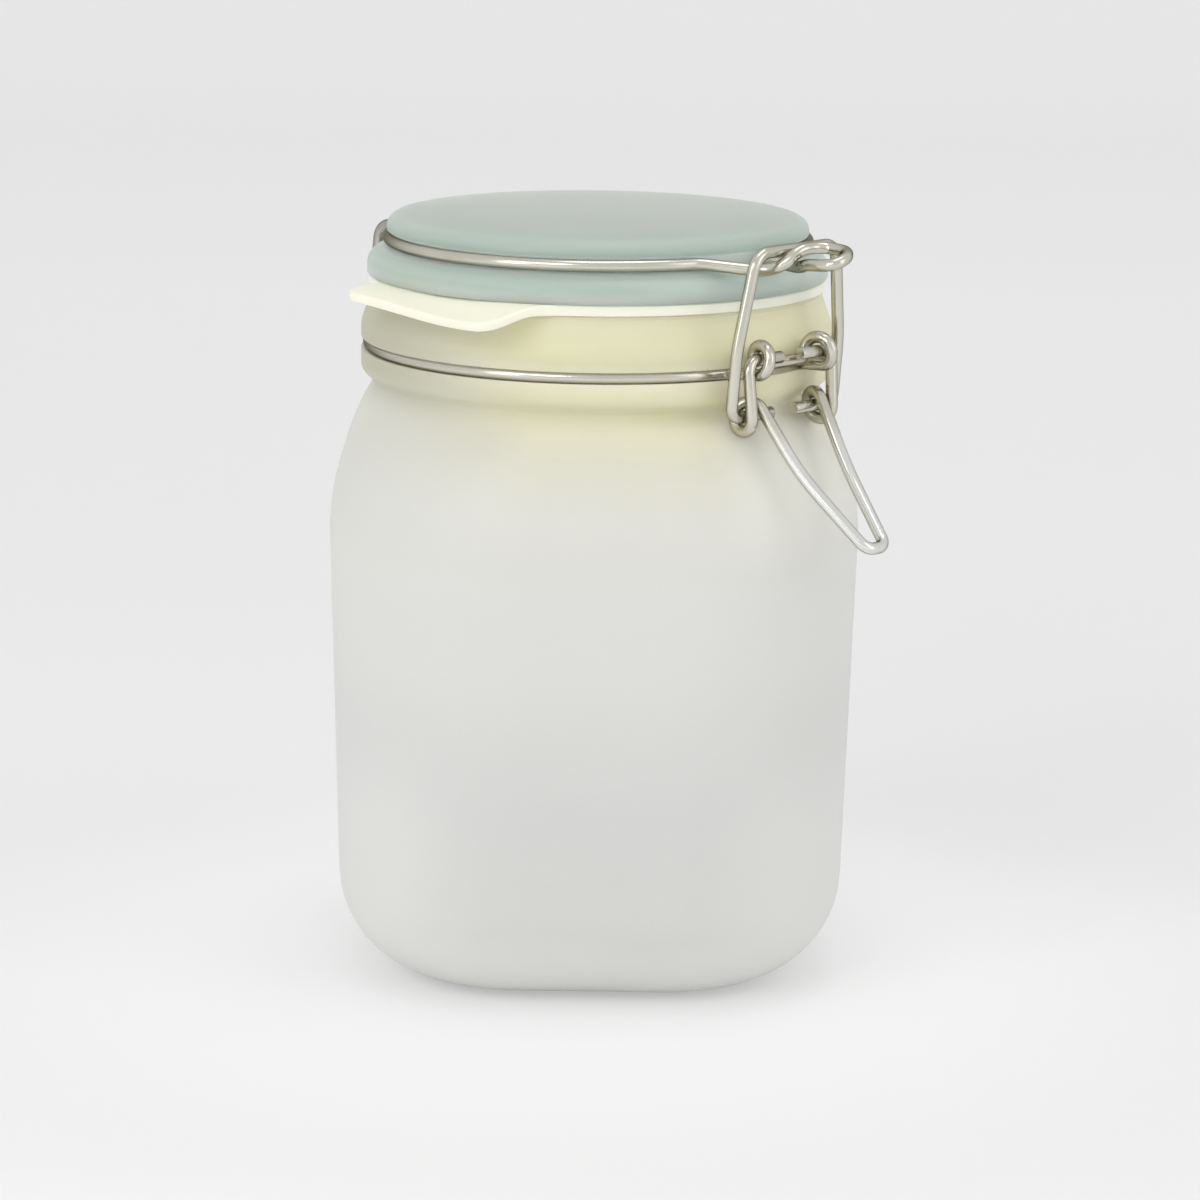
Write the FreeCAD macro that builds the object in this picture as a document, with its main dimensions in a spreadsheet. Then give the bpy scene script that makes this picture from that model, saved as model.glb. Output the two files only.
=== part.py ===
import FreeCAD, Part
import math
import os
import Sketcher
from types import SimpleNamespace

# Square swing-top canister: a frosted glass jar with a round neck, a glass lid on a rubber
# gasket, and a wire clip. Millimetres, +Z up, origin at the centre of the base, front face
# towards -Y. The clip is modelled facing -Y and then turned about Z to its place.

Vector = FreeCAD.Vector

drivingSizes = {
    # jar
    "jar_height": 147.15,        # base to rim
    "mouth_radius": 42.6,
    "mouth_flare": 1.3,
    "shoulder_reach": 13.35,     # mouth to the flat sides under the shoulder
    "side_draft": 2.75,          # drawn in from the shoulder to the base
    "body_corner": 38.0,         # plan radius of the four corners at the base
    "base_round": 22.0,
    "seat_height": 0.6,          # seat that the jar stands on
    "seat_inset": 1.0,           # seat inside the flat of the base
    "shoulder_height": 29.6,     # shoulder to waist
    "waist_drop": 20.55,         # rim to waist
    "waist_draw": 2.9,           # neck to waist
    "glass_wall": 4.0,
    "floor_thickness": 6.0,
    "neck_wall": 7.6,            # mouth to the bulge and bead beside the neck wire
    "neck_root": 2.6,            # waist to the neck's foot
    "glass_weld": 2.0,           # depth of one glass form in the next
    "neck_wire_drop": 12.55,     # rim to neck wire
    "bead_height": 2.8,
    "bulge_height": 1.8,
    "rim_wall": 5.3,             # mouth to the outside of the rim
    "rim_round": 1.6,
    # gasket
    "gasket_thickness": 2.2,
    "gasket_overhang": 0.7,      # beyond the rim
    "gasket_slack": 0.3,         # round the lid's plug
    "tab_thickness": 1.9,
    "tab_length": 9.0,           # beyond the gasket's edge
    "tab_half": 19.6,
    "tab_root_half": 24.4,
    "tab_inset": 6.0,            # root of the tab inside the gasket's edge
    "tab_round": 8.0,
    "tab_turn": -41.0,
    # lid
    "lid_height": 12.55,         # above the gasket
    "flange_overhang": 1.1,      # beyond the rim
    "flange_step": 4.15,         # flange beyond the top disc
    "lid_edge": 3.3,             # height of the top disc's edge
    "lid_edge_round": 2.0,
    "flange_edge": 3.5,
    "flange_rise": 6.15,
    "flange_round": 1.2,
    "plug_gap": 2.6,             # mouth to plug
    "plug_depth": 4.95,
    "plug_wall": 3.6,
    "lid_thickness": 3.9,
    # wire
    "wire": 2.5,
    "groove_fit": 0.12,          # wire to glass
    "running_gap": 0.35,         # between wires that pass each other
    "lid_wire_rise": 7.65,       # gasket to lid wire
    "lid_wire_inset": 0.25,      # lid wire's centre inside the top disc's edge
    "neck_wire_inset": 1.6,      # neck wire's centre inside the neck's bulge
    "eyelet_play": 0.4,          # round a pin
    "eyelet_rise": 3.4,          # neck wire to eyelet axis
    "eyelet_half": 7.7,          # centre to the inner side of an eyelet
    "eyelet_leave": 18.0,        # degrees from the clip to the end of the neck ring
    "eyelet_bend": 4.6,
    "hinge_half": 13.4,          # half spacing of the lid's hinge legs
    "hinge_pin_past": 1.6,       # hinge pins beyond their eyelets
    "hinge_lean": 2.0,           # legs drawn in at the top
    "hinge_dip": 1.5,            # lid wire to the top of the legs
    "hinge_join": 30.0,          # degrees from the hinge to the end of the lid ring
    "hinge_foot_bend": 2.6,
    "hinge_top_bend": 3.4,
    "hinge_ring_bend": 6.0,
    "clip_turn": 47.0,           # clip direction from the front face
    # clip
    "crank_drop": 11.7,          # eyelet axis to bail pins
    "over_centre": 1.85,         # bail pins inside the eyelet axis
    "crank_bend": 2.4,
    "lever_pin_gap": 3.0,        # centre to the ends of the lever's pins
    "loop_play": 0.4,            # round the bail's pins
    "handle_clear": 16.45,       # corner of the jar to the handle's tip
    "handle_drop": 36.9,         # eyelet axis to the handle's tip
    "handle_tip": 3.0,
    "handle_bow": 2.3,           # legs bowed towards the jar
    "handle_flare": 1.0,         # legs bowed apart
    "handle_bend": 60.0,
    "bail_pin_gap": 3.5,         # centre to the ends of the bail's pins
    "bail_rise": 3.2,            # lid wire to the bail's bar
    "bail_lean": 5.1,            # outwards at the top
    "bail_top_half": 12.4,
    "bail_knee": 14.0,           # pins to where the legs begin to draw in
    "bail_foot_bend": 2.4,
    "bail_knee_bend": 40.0,
    "bail_top_bend": 4.2,
    "nose_length": 13.6,         # bail's bar to the tip
    "nose_half": 4.2,
    "nose_tilt": 2.2,            # near strand below the far one
    "nose_left": 24.0,           # degrees from the clip to the end of the ring, on each side
    "nose_right": 8.0,
}


class Dim:
    """A size together with the sheet formula that gives it."""

    def __init__(self, value, text):
        self.value = float(value)
        self.text = text

    def join(self, other, sign, value):
        text = other.text if isinstance(other, Dim) else repr(float(other))
        return Dim(value, "(" + self.text + " " + sign + " " + text + ")")

    def __float__(self):
        return self.value

    def __add__(self, other):
        return self.join(other, "+", self.value + float(other))

    def __sub__(self, other):
        return self.join(other, "-", self.value - float(other))

    def __mul__(self, other):
        return self.join(other, "*", self.value * float(other))

    def __truediv__(self, other):
        return self.join(other, "/", self.value / float(other))


doc = FreeCAD.newDocument("canister")
sheet = doc.addObject("Spreadsheet::Sheet", "Sizes")
for row, (name, value) in enumerate(drivingSizes.items(), 1):
    sheet.set(f"A{row}", name)
    sheet.set(f"B{row}", str(value))
    sheet.setAlias(f"B{row}", name)
doc.recompute()
sz = SimpleNamespace(**{name: Dim(sheet.get(name), "Sizes." + name) for name in drivingSizes})
zero = Dim(0, "0")

# Levels
rimZ = sz.jar_height
neckWireZ = rimZ - sz.neck_wire_drop
waistZ = rimZ - sz.waist_drop
shoulderZ = waistZ - sz.shoulder_height
gasketTop = rimZ + sz.gasket_thickness
lidWireZ = gasketTop + sz.lid_wire_rise
lidTop = gasketTop + sz.lid_height
eyeletZ = neckWireZ + sz.eyelet_rise

# Radii and half widths that follow from the mouth
neckRadius = sz.mouth_radius + sz.neck_wall
waistRadius = neckRadius - sz.waist_draw
rimRadius = sz.mouth_radius + sz.rim_wall
shoulderHalf = sz.mouth_radius + sz.shoulder_reach
baseHalf = shoulderHalf - sz.side_draft
shoulderCorner = sz.body_corner + sz.side_draft
gasketRadius = rimRadius + sz.gasket_overhang
flangeRadius = rimRadius + sz.flange_overhang
lidRadius = flangeRadius - sz.flange_step
plugRadius = sz.mouth_radius - sz.plug_gap
wireRadius = sz.wire / 2
neckWireSeat = neckRadius - sz.neck_wire_inset
lidWireSeat = lidRadius - sz.lid_wire_inset
eyeletRadius = sz.wire + sz.eyelet_play
eyeletR = neckRadius + sz.groove_fit + wireRadius + eyeletRadius


def plane(body, role):
    return next(f for f in body.Origin.OriginFeatures if f.Role == role)


def newSketch(body, name, role, height=None):
    sketch = body.newObject("Sketcher::SketchObject", name)
    sketch.AttachmentSupport = [(plane(body, role), "")]
    sketch.MapMode = "FlatFace"
    if height is not None:
        sketch.AttachmentOffset = FreeCAD.Placement(Vector(0, 0, float(height)), FreeCAD.Rotation())
        sketch.setExpression("AttachmentOffset.Base.z", height.text)
    return sketch


def dimension(sketch, kind, first, second, size):
    """A driving dimension between two points, bound to the sheet."""
    index = sketch.addConstraint(Sketcher.Constraint(kind, *first, *second, float(size)))
    sketch.setExpression(f"Constraints[{index}]", size.text)


def place(sketch, point, x, y):
    """Fixes a point of the sketch at x, y from the sketch's origin."""
    for kind, axis, size in (("DistanceX", -2, x), ("DistanceY", -1, y)):
        if size is zero:
            sketch.addConstraint(Sketcher.Constraint("PointOnObject", *point, axis))
        else:
            dimension(sketch, kind, (-1, 1), point, size)


def polygon(sketch, corners):
    """A closed outline of straight edges with every corner dimensioned."""
    points = [Vector(float(x), float(y), 0) for x, y in corners]
    count = len(points)
    for i in range(count):
        sketch.addGeometry(Part.LineSegment(points[i], points[(i + 1) % count]), False)
    for i in range(count):
        sketch.addConstraint(Sketcher.Constraint("Coincident", i, 2, (i + 1) % count, 1))
    for i, (x, y) in enumerate(corners):
        place(sketch, (i, 1), x, y)


def roundedSquare(sketch, half, corner):
    """A square outline centred on the origin, with its corners rounded."""
    w, r = float(half), float(corner)
    flat = w - r
    for k in range(4):
        turn = FreeCAD.Rotation(Vector(0, 0, 1), 90 * k)
        start, end = (turn.multVec(Vector(w, y, 0)) for y in (-flat, flat))
        sketch.addGeometry(Part.LineSegment(start, end), False)
        circle = Part.Circle(turn.multVec(Vector(flat, flat, 0)), Vector(0, 0, 1), r)
        angle = math.pi / 2 * k
        sketch.addGeometry(Part.ArcOfCircle(circle, angle, angle + math.pi / 2), False)
    for i in range(8):
        sketch.addConstraint(Sketcher.Constraint("Tangent", i, 2, (i + 1) % 8, 1))
    for line, kind in ((0, "Vertical"), (2, "Horizontal"), (4, "Vertical"), (6, "Horizontal")):
        sketch.addConstraint(Sketcher.Constraint(kind, line))
    for arc in (3, 5, 7):
        sketch.addConstraint(Sketcher.Constraint("Equal", 1, arc))
    index = sketch.addConstraint(Sketcher.Constraint("Radius", 1, r))
    sketch.setExpression(f"Constraints[{index}]", corner.text)
    dimension(sketch, "DistanceX", (-1, 1), (0, 1), half)
    dimension(sketch, "DistanceY", (-1, 1), (2, 1), half)
    dimension(sketch, "DistanceX", (4, 1), (-1, 1), half)
    dimension(sketch, "DistanceY", (6, 1), (-1, 1), half)


def revolve(body, name, corners):
    sketch = newSketch(body, name + "_profile", "XZ_Plane")
    polygon(sketch, corners)
    feature = body.newObject("PartDesign::Revolution", name)
    feature.Profile = sketch
    feature.ReferenceAxis = (sketch, ["V_Axis"])
    feature.Angle = 360
    doc.recompute()
    return feature


def roundRings(body, name, base, rings, radius):
    """Rounds the circular edges that lie at the given radii and heights."""
    found = []
    for i, edge in enumerate(base.Shape.Edges, 1):
        if not isinstance(edge.Curve, Part.Circle):
            continue
        for r, z in rings:
            if abs(edge.Curve.Radius - float(r)) < 1e-4 and abs(edge.Curve.Center.z - float(z)) < 1e-4:
                found.append(f"Edge{i}")
    feature = body.newObject("PartDesign::Fillet", name)
    feature.Base = (base, found)
    feature.setExpression("Radius", radius.text)
    doc.recompute()
    return feature


def glassForm(name, inset, floor, topRadius):
    """The square body and shoulder, or with an inset the room inside them."""
    body = doc.addObject("PartDesign::Body", name)
    foot = newSketch(body, name + "_foot", "XY_Plane", floor)
    roundedSquare(foot, baseHalf - inset, sz.body_corner - inset)
    walls = body.newObject("PartDesign::Pad", name + "_walls")
    walls.Profile = foot
    walls.setExpression("Length", (shoulderZ - floor).text)
    walls.setExpression("TaperAngle", "atan(" + (sz.side_draft / (shoulderZ - floor)).text + ")")
    doc.recompute()
    footEdges = [
        f"Edge{i}" for i, edge in enumerate(walls.Shape.Edges, 1)
        if edge.BoundBox.ZMax < float(floor) + 1e-4
    ]
    bottom = body.newObject("PartDesign::Fillet", name + "_base_round")
    bottom.Base = (walls, footEdges)
    bottom.setExpression("Radius", (sz.base_round - inset).text)
    doc.recompute()
    # The shoulder draws in with the square of its height until it is round.
    crown = body.newObject("PartDesign::AdditiveLoft", name + "_crown")
    sections = []
    wideHalf = shoulderHalf - inset
    wideCorner = shoulderCorner - inset
    for step in (0.0, 0.25, 0.5, 0.75, 1.0):
        gather = step * step
        level = newSketch(body, f"{name}_level_{round(step * 100)}", "XY_Plane",
                          shoulderZ + sz.shoulder_height * step)
        roundedSquare(level, wideHalf + (topRadius - wideHalf) * gather,
                      wideCorner + (topRadius * 0.985 - wideCorner) * gather)
        sections.append(level)
    crown.Profile = sections[0]
    crown.Sections = sections[1:]
    doc.recompute()
    return body


def bentPath(points, radii):
    """Straight runs through the points, with a tangent arc at each inner point."""
    edges = []
    here = points[0]
    for before, corner, after, radius in zip(points, points[1:], points[2:], radii):
        a = (corner - before).normalize()
        b = (after - corner).normalize()
        half = a.getAngle(b) / 2
        inward = (b - a).normalize()
        start = corner - a * radius * math.tan(half)
        end = corner + b * radius * math.tan(half)
        middle = corner + inward * (radius / math.cos(half) - radius)
        if (start - here).Length > 1e-5:
            edges.append(Part.makeLine(here, start))
        edges.append(Part.Arc(start, middle, end).toShape())
        here = end
    edges.append(Part.makeLine(here, points[-1]))
    return Part.Wire(edges)


def wirePiece(name, points, radii):
    """A round wire bent along the points, turned to the clip's direction."""
    path = bentPath(points, radii)
    start = path.Edges[0]
    section = Part.Wire(Part.makeCircle(float(wireRadius), start.valueAt(start.FirstParameter),
                                        start.tangentAt(start.FirstParameter)))
    piece = doc.addObject("Part::Feature", name)
    piece.Shape = path.makePipeShell([section], True, False)
    piece.Placement = FreeCAD.Placement(Vector(), FreeCAD.Rotation(Vector(0, 0, 1), float(sz.clip_turn)))
    share = piece.Shape.Volume / (math.pi * float(wireRadius) ** 2 * path.Length)
    print(f"{name}: wire length {path.Length:.1f}, volume over section times length {share:.4f}")
    return piece


def clip(r, s, z):
    """A point of the clip: r outwards, s along the clip's width, z up."""
    return Vector(float(s), -float(r), float(z))


def mirrored(points):
    return [Vector(-p.x, p.y, p.z) for p in reversed(points)]


def arcCorners(radius, first, last, z, count):
    """Corners outside a ring, so that arcs of its radius there make the ring."""
    step = (last - first) / count
    reach = float(radius) / math.cos(math.radians(step / 2))
    angles = [math.radians(first + step * (i + 0.5)) for i in range(count)]
    return [clip(reach * math.cos(a), reach * math.sin(a), z) for a in angles]


def tangentAt(radius, degrees, s, z):
    """The point of the ring's tangent at an angle that lies at a given s."""
    a = math.radians(degrees)
    rise = (float(s) - float(radius) * math.sin(a)) / math.cos(a)
    return clip(float(radius) * math.cos(a) - rise * math.sin(a), s, z)


def widestBends(points):
    """For each inner point, the bend that takes just under half of its shorter run."""
    bends = []
    for before, corner, after in zip(points, points[1:], points[2:]):
        half = (corner - before).getAngle(after - corner) / 2
        bends.append(0.48 * min((corner - before).Length, (after - corner).Length) / math.tan(half))
    return bends


# Jar: the glass outside, with its neck, less the room inside and the mouth
outside = glassForm("glass_outside", zero, sz.seat_height, waistRadius)
seatInset = sz.base_round + sz.seat_inset
seatPlan = newSketch(outside, "seat_plan", "XY_Plane")
roundedSquare(seatPlan, baseHalf - seatInset, sz.body_corner - seatInset)
seat = outside.newObject("PartDesign::Pad", "seat")
seat.Profile = seatPlan
seat.setExpression("Length", (sz.seat_height + sz.glass_weld).text)
doc.recompute()
grooveRoot = neckWireSeat - wireRadius - sz.groove_fit
grooveHalf = wireRadius + sz.groove_fit
neckCorners = [
    (sz.mouth_radius - sz.glass_weld, waistZ - sz.glass_weld),
    (waistRadius - sz.neck_root, waistZ - sz.glass_weld),
    (neckRadius, neckWireZ - grooveHalf * 2 - sz.bead_height),
    (neckRadius, neckWireZ - grooveHalf * 2),
    (grooveRoot, neckWireZ - grooveHalf),
    (grooveRoot, neckWireZ + grooveHalf),
    (neckRadius, neckWireZ + grooveHalf * 2),
    (neckRadius, neckWireZ + grooveHalf * 2 + sz.bulge_height),
    (rimRadius, rimZ - sz.rim_round),
    (rimRadius, rimZ),
    (sz.mouth_radius - sz.glass_weld, rimZ),
]
neck = revolve(outside, "neck", neckCorners)
beads = [neckCorners[i] for i in (2, 3, 6, 7)]
neck = roundRings(outside, "neck_beads", neck, beads, sz.bead_height * 0.42)
neck = roundRings(outside, "rim_edge", neck, [neckCorners[9]], sz.rim_round * 0.9)
inside = glassForm("glass_inside", sz.glass_wall, sz.floor_thickness, sz.mouth_radius)
revolve(inside, "mouth", [
    (zero, waistZ - sz.glass_weld),
    (sz.mouth_radius, waistZ - sz.glass_weld),
    (sz.mouth_radius, rimZ - sz.mouth_flare),
    (sz.mouth_radius + sz.mouth_flare * 0.6, rimZ - sz.mouth_flare * 0.35),
    (sz.mouth_radius + sz.mouth_flare, rimZ),
    (sz.mouth_radius + sz.mouth_flare, rimZ + sz.glass_weld),
    (zero, rimZ + sz.glass_weld),
])
jar = doc.addObject("Part::Cut", "jar")
jar.Base = outside
jar.Tool = inside

# Lid: a disc over a wire groove and a wider flange, hollow below, with a plug into the mouth
lid = doc.addObject("PartDesign::Body", "lid")
lidGrooveRoot = lidWireSeat - wireRadius - sz.groove_fit
lidCorners = [
    (zero, lidTop),
    (lidRadius, lidTop),
    (lidRadius, lidTop - sz.lid_edge),
    (lidGrooveRoot, lidWireZ + grooveHalf),
    (lidGrooveRoot, lidWireZ - grooveHalf),
    (lidWireSeat, gasketTop + sz.flange_rise),
    (flangeRadius - sz.flange_round, gasketTop + sz.flange_edge + sz.flange_round),
    (flangeRadius, gasketTop + sz.flange_edge),
    (flangeRadius, gasketTop),
    (plugRadius, gasketTop),
    (plugRadius, gasketTop - sz.plug_depth),
    (plugRadius - sz.plug_wall, gasketTop - sz.plug_depth),
    (plugRadius - sz.plug_wall * 1.4, lidTop - sz.lid_thickness),
    (zero, lidTop - sz.lid_thickness),
]
cap = revolve(lid, "lid_form", lidCorners)
cap = roundRings(lid, "lid_top_edge", cap, lidCorners[1:2], sz.lid_edge_round)
cap = roundRings(lid, "lid_under_edge", cap, lidCorners[2:3], sz.lid_edge_round * 0.4)
cap = roundRings(lid, "flange_edges", cap, lidCorners[6:9], sz.flange_round * 0.8)
cap = roundRings(lid, "plug_edges", cap, lidCorners[10:13], sz.plug_wall * 0.3)

# Gasket: a flat ring on the lid's plug, with a tab to pull it by
gasket = doc.addObject("PartDesign::Body", "gasket")
ringInner = plugRadius + sz.gasket_slack
ring = revolve(gasket, "gasket_ring", [
    (ringInner, rimZ), (gasketRadius, rimZ), (gasketRadius, gasketTop), (ringInner, gasketTop),
])
tabPlan = newSketch(gasket, "tab_plan", "XY_Plane", rimZ + (sz.gasket_thickness - sz.tab_thickness) / 2)
tabRoot = zero - gasketRadius + sz.tab_inset
tabEnd = zero - gasketRadius - sz.tab_length
polygon(tabPlan, [
    (zero - sz.tab_root_half, tabRoot), (zero - sz.tab_half, tabEnd),
    (sz.tab_half, tabEnd), (sz.tab_root_half, tabRoot),
])
tab = gasket.newObject("PartDesign::Pad", "tab")
tab.Profile = tabPlan
tab.setExpression("Length", sz.tab_thickness.text)
doc.recompute()
tabEdges = [
    f"Edge{i}" for i, edge in enumerate(tab.Shape.Edges, 1)
    if edge.BoundBox.ZLength > 1 and abs(edge.BoundBox.YMin - float(tabEnd)) < 1e-4
]
tabRounds = gasket.newObject("PartDesign::Fillet", "tab_rounds")
tabRounds.Base = (tab, tabEdges)
tabRounds.setExpression("Radius", sz.tab_round.text)
gasket.Placement = FreeCAD.Placement(Vector(), FreeCAD.Rotation(Vector(0, 0, 1), float(sz.tab_turn)))

# Neck wire: its ends curl into eyelets for the lid's hinge pins behind, and in front it is
# bent into two eyelets for the lever, with a short straight strand between them
q, pitch = float(eyeletRadius), float(sz.wire) / 3
eyeR, eyeZ = float(eyeletR), float(eyeletZ)
inner = float(sz.eyelet_half)
outer = inner + float(sz.wire)
strandBend = q * 0.62
leave = float(sz.eyelet_leave)
neckSeat = float(neckWireSeat)
ringCount = 4
frontEye = [
    clip(eyeR - q, inner, eyeZ - strandBend),
    clip(eyeR - q, inner + pitch, eyeZ + q),
    clip(eyeR + q, inner + pitch * 2, eyeZ + q),
    clip(eyeR + q, outer, eyeZ - q),
    tangentAt(neckSeat, leave, outer, neckWireZ),
]
frontBends = [strandBend, q, q, q, float(sz.eyelet_bend)]
rearEye = [Vector(p.x, -p.y, p.z) for p in reversed(frontEye[1:])]
rearEnd = clip(q - eyeR, inner, eyeZ - q * 0.3)
half = frontEye + arcCorners(neckSeat, leave, 180 - leave, neckWireZ, ringCount) + rearEye + [rearEnd]
halfBends = frontBends + [neckSeat] * ringCount + frontBends[:0:-1]
neckRing = wirePiece("neck_ring", mirrored(half) + half, halfBends[::-1] + halfBends)

# Lid wire: hinge legs behind, the ring in the lid's groove, and in front a nose: the left strand
# dips under the bail's bar, rises in front of it and crosses over the right strand to the far side
pinR, pinZ = eyeR - float(sz.over_centre), eyeZ - float(sz.crank_drop)
lean = math.radians(float(sz.bail_lean))
level, lidSeat = float(lidWireZ), float(lidWireSeat)
seatZ = level + float(sz.bail_rise)
seatR = pinR + (seatZ - pinZ) * math.tan(lean)
legS, join = float(sz.hinge_half), float(sz.hinge_join)
leftLeg = [
    clip(-eyeR, float(sz.hinge_pin_past) - inner, eyeZ),
    clip(-eyeR, -legS, eyeZ),
    clip(float(sz.hinge_lean) - eyeR, -legS, level - float(sz.hinge_dip)),
    tangentAt(-lidSeat, join, -legS, level),
]
legBends = [float(b) for b in (sz.hinge_foot_bend, sz.hinge_top_bend, sz.hinge_ring_bend)]
leaveLeft, leaveRight = -float(sz.nose_left), float(sz.nose_right)
ringLeft = arcCorners(lidSeat, join - 180, leaveLeft, level, ringCount)
ringRight = mirrored(arcCorners(lidSeat, join - 180, -leaveRight, level, ringCount))
pace = float(sz.wire) + float(sz.running_gap)
reach, side, tilt = (float(d) for d in (sz.nose_length, sz.nose_half, sz.nose_tilt))


def nose(r, s, z):
    """A point of the nose, from the middle of the bail's bar."""
    return clip(seatR + r, s, seatZ + z)


strands = [
    tangentAt(lidSeat, leaveLeft, side * -3.45, level),
    nose(pace * -0.9, side * -1.62, pace * -1.5),
    nose(pace * 0.68, side * -1.42, pace * -0.92),
    nose(pace * 1.2, side * -0.78, pace * 0.14),
    nose(pace * 1.45, side * 0.24, pace * 0.2),
    nose(reach * 0.45, side * 0.8, pace * 0.16),
    nose(reach * 0.84, side * 0.64, pace * 0.1),
    nose(reach * 1.03, side * -0.2, pace * -0.18),
    nose(reach, side * -0.9, tilt * -0.7),
    nose(reach * 0.8, side * -1.07, tilt * -0.9),
    nose(reach * 0.42, side * -0.86, tilt * -1.08),
    nose(pace * 0.7, side * -0.29, pace * -1.27),
    nose(pace * -1.23, side * 0.14, pace * -1.28),
    tangentAt(lidSeat, leaveRight, side * 0.24, level),
]
ringEnds = [clip(lidSeat * math.cos(math.radians(a)), lidSeat * math.sin(math.radians(a)), level)
            for a in (leaveLeft, leaveRight)]
strandBends = widestBends(ringEnds[:1] + strands + ringEnds[1:])
ringBends = [lidSeat] * ringCount
lidRing = wirePiece("lid_ring", leftLeg + ringLeft + strands + ringRight + mirrored(leftLeg),
                    legBends + ringBends + strandBends + ringBends + legBends[::-1])

# Lever: pins in the neck eyelets, cranks, loops round the bail's pins, and the V-shaped handle
loop = float(sz.wire) + float(sz.loop_play)
loopZ = pinZ - float(sz.loop_play) / 4
turnStep = float(sz.wire) / 4
crankS = outer + pace
handleS = crankS - float(sz.wire) * 1.4
cornerReach = (float(shoulderHalf) - float(shoulderCorner)) * math.sqrt(2) + float(shoulderCorner)
tipS = float(sz.handle_tip)
legTop = clip(pinR + loop * 0.6, handleS, loopZ + loop)
legEnd = clip(cornerReach + float(sz.handle_clear), tipS, eyeZ - float(sz.handle_drop))
bow = clip(-float(sz.handle_bow), sz.handle_flare, 0)
leverHalf = [
    clip(eyeR, sz.lever_pin_gap, eyeZ),
    clip(eyeR, crankS, eyeZ),
    clip(pinR + loop * 1.06, crankS - turnStep, loopZ - loop),
    clip(pinR - loop, crankS - turnStep * 2, loopZ - loop),
    clip(pinR - loop, crankS - turnStep * 3, loopZ + loop),
    legTop,
    (legTop + legEnd) * 0.5 + bow,
    legEnd,
]
leverBends = [float(sz.crank_bend), loop, loop, loop, loop * 0.9, float(sz.handle_bend), tipS * 0.95]
lever = wirePiece("lever", leverHalf + mirrored(leverHalf), leverBends + leverBends[::-1])

# Bail: one flat bent wire, modelled on its pins and leant out over the lid's nose. Its legs rise
# straight past the lever's cranks and then draw in
bail = doc.addObject("PartDesign::Body", "bail")
footHalf = sz.eyelet_half + sz.wire * 3 + sz.running_gap * 2
topHalf = sz.bail_top_half
pinInner = sz.bail_pin_gap
rise = lidWireZ + sz.bail_rise - eyeletZ + sz.crank_drop
height = Dim(float(rise) / math.cos(lean), rise.text + " / cos(" + sz.bail_lean.text + ")")
route = newSketch(bail, "bail_route", "XZ_Plane")
corners = [
    (zero - footHalf, zero), (zero - footHalf, sz.bail_knee), (zero - topHalf, height),
    (topHalf, height), (footHalf, sz.bail_knee), (footHalf, zero),
]
cornerPoints = [Vector(float(x), float(y), 0) for x, y in corners]
ends = [Vector(-float(pinInner), 0, 0), Vector(float(pinInner), 0, 0)]
bends = [sz.bail_foot_bend, sz.bail_knee_bend, sz.bail_top_bend]
bends = bends + bends[::-1]
outline = bentPath([ends[0]] + cornerPoints + [ends[1]], [float(b) for b in bends])
for edge in outline.OrderedEdges:
    route.addGeometry(edge.Curve.trim(edge.FirstParameter, edge.LastParameter), False)
for point in cornerPoints:
    route.addGeometry(Part.Point(point), True)


def nearEnd(sketch, geometry, point):
    return min((1, 2), key=lambda pos: (sketch.getPoint(geometry, pos) - point).Length)


count = len(outline.OrderedEdges)
joints = [vertex.Point for vertex in outline.OrderedVertexes]
for i in range(count - 1):
    here = joints[i + 1]
    route.addConstraint(Sketcher.Constraint("Tangent", i, nearEnd(route, i, here),
                                            i + 1, nearEnd(route, i + 1, here)))
for i, (x, y) in enumerate(corners):
    place(route, (count + i, 1), x, y)
    for line in (2 * i, 2 * i + 2):
        if line not in (0, count - 1):
            route.addConstraint(Sketcher.Constraint("PointOnObject", count + i, 1, line))
for i, bendRadius in enumerate(bends):
    index = route.addConstraint(Sketcher.Constraint("Radius", 2 * i + 1, float(bendRadius)))
    route.setExpression(f"Constraints[{index}]", bendRadius.text)
for line, end, reach in ((0, ends[0], zero - pinInner), (count - 1, ends[1], pinInner)):
    for pos in (1, 2):
        route.addConstraint(Sketcher.Constraint("PointOnObject", line, pos, -1))
    dimension(route, "DistanceX", (-1, 1), (line, nearEnd(route, line, end)), reach)
wireSection = newSketch(bail, "bail_section", "YZ_Plane", zero - pinInner)
wireSection.addGeometry(Part.Circle(Vector(), Vector(0, 0, 1), float(wireRadius)), False)
wireSection.addConstraint(Sketcher.Constraint("Coincident", 0, 3, -1, 1))
index = wireSection.addConstraint(Sketcher.Constraint("Radius", 0, float(wireRadius)))
wireSection.setExpression(f"Constraints[{index}]", wireRadius.text)
doc.recompute()
bailWire = bail.newObject("PartDesign::AdditivePipe", "bail_wire")
bailWire.Profile = wireSection
bailWire.Spine = route
doc.recompute()
turn = FreeCAD.Rotation(Vector(0, 0, 1), float(sz.clip_turn))
tip = FreeCAD.Rotation(Vector(1, 0, 0), float(sz.bail_lean))
bail.Placement = FreeCAD.Placement(turn.multVec(clip(pinR, 0, pinZ)), turn.multiply(tip))
doc.recompute()

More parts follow.
